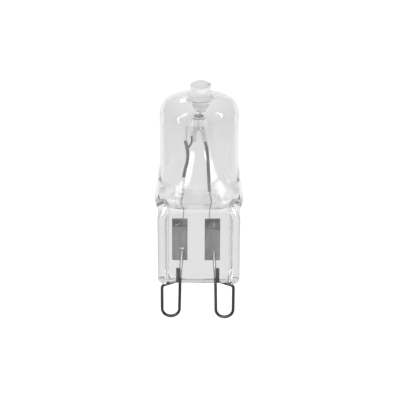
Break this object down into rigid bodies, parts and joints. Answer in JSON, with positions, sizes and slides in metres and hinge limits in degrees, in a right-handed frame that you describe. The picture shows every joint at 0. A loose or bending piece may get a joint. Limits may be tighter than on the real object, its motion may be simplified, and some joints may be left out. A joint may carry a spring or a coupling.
{
  "type": "halogen capsule bulb",
  "caption": "Clear quartz halogen capsule bulb: round tube with a sealed exhaust tip, flat press, coiled filament, and bare wire contact loops for a push-in lamp holder.",
  "frame": {"origin": "middle of the lower end of the flat press, between the contact loops", "axes": "+X across the contact loops, +Y through the flat press to its back, +Z along the bulb to the exhaust tip"},
  "size_m": [0.0142, 0.0126, 0.0421],
  "materials": {
    "quartz": "clear fire-polished quartz glass",
    "contact_metal": "drawn molybdenum wire, dull grey",
    "foil_metal": "thin molybdenum foil, matt grey",
    "tungsten": "drawn and coiled tungsten wire, dark grey"
  },
  "bodies": {
    "root": {"envelope": "quartz", "left_contact_loop": "contact_metal", "right_contact_loop": "contact_metal", "left_foil": "foil_metal", "right_foil": "foil_metal", "filament": "tungsten", "support_wire": "tungsten"}
  },
  "joints": []
}
